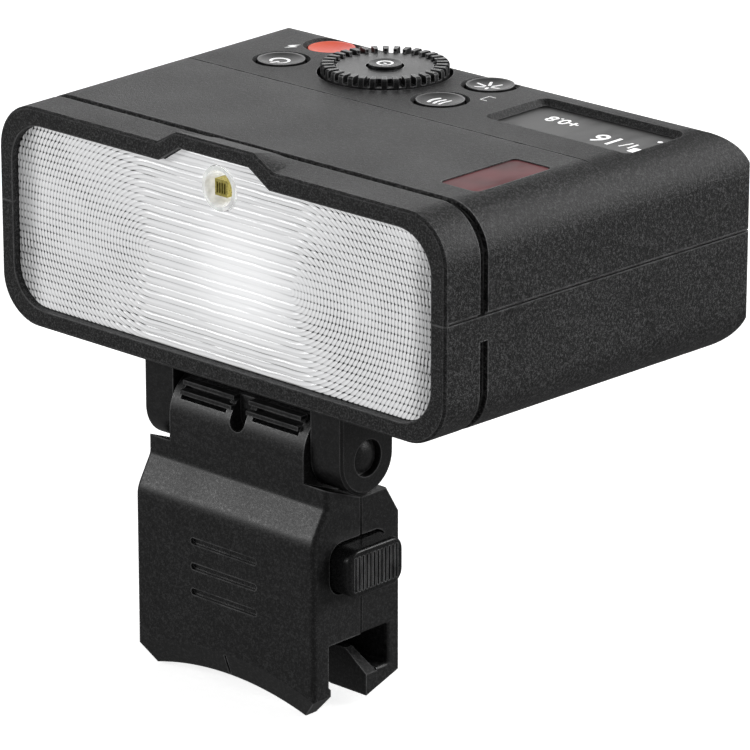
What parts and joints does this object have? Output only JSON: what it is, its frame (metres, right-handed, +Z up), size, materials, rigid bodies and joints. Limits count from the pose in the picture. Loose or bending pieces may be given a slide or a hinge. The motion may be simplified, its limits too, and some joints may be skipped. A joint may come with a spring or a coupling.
{
  "type": "speedlight flash",
  "caption": "Compact macro flash head with a ribbed window, top dial, buttons and display, tilting on a bracket that clips to a lens-ring rail with pinch release buttons.",
  "frame": {"origin": "middle of the rail slot's ceiling in the bracket, straight under the tilt pin", "axes": "+Z up from the rail towards the head, +X to the right seen from the front's own back, +Y from the front window towards the back"},
  "size_m": [0.0838, 0.0569, 0.0754],
  "materials": {
    "shell_black": "fine moulded grain",
    "bracket_black": "fine moulded grain",
    "button_black": "satin",
    "press_black": "satin with ribs",
    "dial_black": "satin with teeth",
    "window_clear": "ribbed clear plastic",
    "lamp_clear": "clear moulded cup",
    "reflector_metal": "bright anodised sheet",
    "tube_glass": "clear",
    "seal_silicone": "matt",
    "nickel": "bright nickel",
    "die_yellow": "yellow phosphor",
    "board_green": "solder mask",
    "display_glass": "glossy black",
    "module_dark": "dark glass",
    "sensor_red": "dark red, see-through",
    "sensor_black": "smooth",
    "test_red": "frosted, lit from below",
    "switch_metal": "stamped",
    "capacitor_sleeve": "shrink sleeve over a can",
    "ferrite": "wound core under tape",
    "copper_coil": "enamelled wire",
    "cell_foil": "foil pouch",
    "socket_steel": "stamped shell",
    "tongue_black": "smooth",
    "screw_steel": "black zinc",
    "pin_steel": "ground",
    "cap_black": "smooth dome",
    "spring_steel": "music wire",
    "pawl_grey": "smooth acetal"
  },
  "bodies": {
    "bracket": {"bracket_front": "bracket_black", "bracket_rear": "bracket_black", "bracket_screws": "screw_steel", "friction_sleeve": "spring_steel", "pawl_spring": "spring_steel"},
    "head": {"top_shell": "shell_black", "bottom_shell": "shell_black", "fresnel_window": "window_clear", "reflector": "reflector_metal", "flash_tube": "tube_glass", "tube_seals": "seal_silicone", "tube_electrodes": "nickel", "led_cup": "lamp_clear", "led_emitter": "die_yellow", "led_board": "board_green", "display_window": "display_glass", "display_module": "module_dark", "sensor_window": "sensor_red", "slave_sensor": "sensor_black", "control_board": "board_green", "tact_switches": "switch_metal", "dial_encoder": "switch_metal", "main_board": "board_green", "power_board": "board_green", "main_capacitor": "capacitor_sleeve", "boost_transformer": "ferrite", "trigger_coil": "copper_coil", "battery_pack": "cell_foil", "charge_socket": "socket_steel", "socket_tongue": "tongue_black", "case_screws": "screw_steel", "tilt_yoke": "bracket_black", "yoke_screws": "screw_steel", "hinge_pin": "pin_steel", "pin_caps": "cap_black"},
    "dial": {"control_dial": "dial_black"},
    "set": {"set_button": "button_black"},
    "power": {"power_button": "button_black"},
    "test": {"test_button": "test_red"},
    "mode": {"mode_button": "button_black"},
    "lamp": {"lamp_button": "button_black"},
    "pawl": {"lock_pawl": "pawl_grey"},
    "press_right": {"release_button_right": "press_black"},
    "press_left": {"release_button_left": "press_black"}
  },
  "joints": [
    {"name": "head_tilt", "type": "hinge", "parent": "bracket", "child": "head", "pos_m": [0, 0, 0.0249], "axis": [1, 0, 0], "range_deg": [-45, 60]},
    {"name": "dial_turn", "type": "hinge", "parent": "head", "child": "dial", "pos_m": [-0.01145, 0.03475, 0.0636], "axis": [0, 0, 1], "continuous": true},
    {"name": "set_push", "type": "slide", "parent": "head", "child": "set", "axis": [0, 0, -1], "range_m": [0, 0.0004], "stiffness_N_per_m": 600, "springref_m": -0.0003},
    {"name": "power_push", "type": "slide", "parent": "head", "child": "power", "axis": [0, 0, -1], "range_m": [0, 0.0004], "stiffness_N_per_m": 600, "springref_m": -0.0003},
    {"name": "test_push", "type": "slide", "parent": "head", "child": "test", "axis": [0, 0, -1], "range_m": [0, 0.0004], "stiffness_N_per_m": 600, "springref_m": -0.0003},
    {"name": "mode_push", "type": "slide", "parent": "head", "child": "mode", "axis": [0, 0, -1], "range_m": [0, 0.0004], "stiffness_N_per_m": 600, "springref_m": -0.0003},
    {"name": "lamp_push", "type": "slide", "parent": "head", "child": "lamp", "axis": [0, 0, -1], "range_m": [0, 0.0004], "stiffness_N_per_m": 600, "springref_m": -0.0003},
    {"name": "release_right", "type": "slide", "parent": "bracket", "child": "press_right", "axis": [-1, 0, 0], "range_m": [0, 0.0018], "stiffness_N_per_m": 800, "springref_m": -0.002},
    {"name": "release_left", "type": "slide", "parent": "bracket", "child": "press_left", "axis": [1, 0, 0], "range_m": [0, 0.0018]},
    {"name": "pawl_lift", "type": "slide", "parent": "bracket", "child": "pawl", "axis": [0, 0, 1], "range_m": [0, 0.0018], "deforming": ["pawl_spring"]}
  ],
  "couplings": [
    {"joint": "release_left", "follows": "release_right", "ratio": 1},
    {"joint": "pawl_lift", "follows": "release_right", "ratio": 1}
  ]
}
